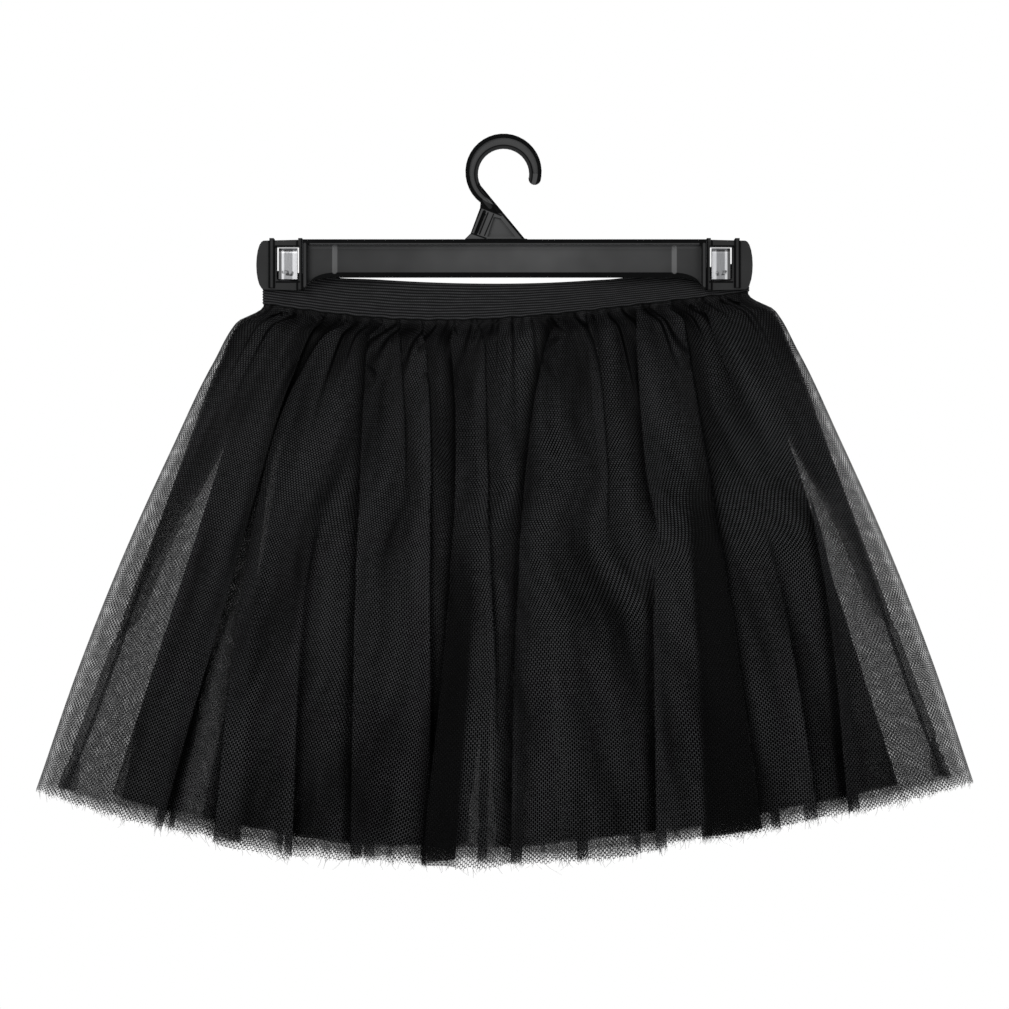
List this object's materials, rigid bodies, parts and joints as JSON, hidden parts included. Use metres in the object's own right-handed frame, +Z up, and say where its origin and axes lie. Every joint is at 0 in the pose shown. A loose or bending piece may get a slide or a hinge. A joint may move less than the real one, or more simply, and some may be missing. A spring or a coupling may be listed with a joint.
{
  "type": "tulle skirt on a clip hanger",
  "caption": "Short gathered skirt of black net in layers on a ribbed elastic waistband, held by a black plastic clip hanger.",
  "frame": {"origin": "the hook's inner top, where it rests on a rod, in the hook's middle plane", "axes": "+Z up, -Y towards the skirt's front, +X to the right as the front is seen"},
  "size_m": [0.576, 0.1377, 0.4511],
  "materials": {
    "tulle_net": "matt net with a faint sheen on the folds",
    "waist_elastic": "matt woven elastic with ribs along it",
    "hanger_plastic": "moulded, satin to glossy",
    "clip_steel": "bright plated strip"
  },
  "bodies": {
    "root": {"waistband": "waist_elastic", "tulle_outer": "tulle_net", "tulle_middle": "tulle_net", "tulle_inner": "tulle_net", "hook": "hanger_plastic", "hanger_bar": "hanger_plastic", "jaw_front_left": "hanger_plastic", "jaw_front_right": "hanger_plastic", "jaw_back_left": "hanger_plastic", "jaw_back_right": "hanger_plastic", "clip_spring_left": "clip_steel", "clip_spring_right": "clip_steel"}
  },
  "joints": []
}
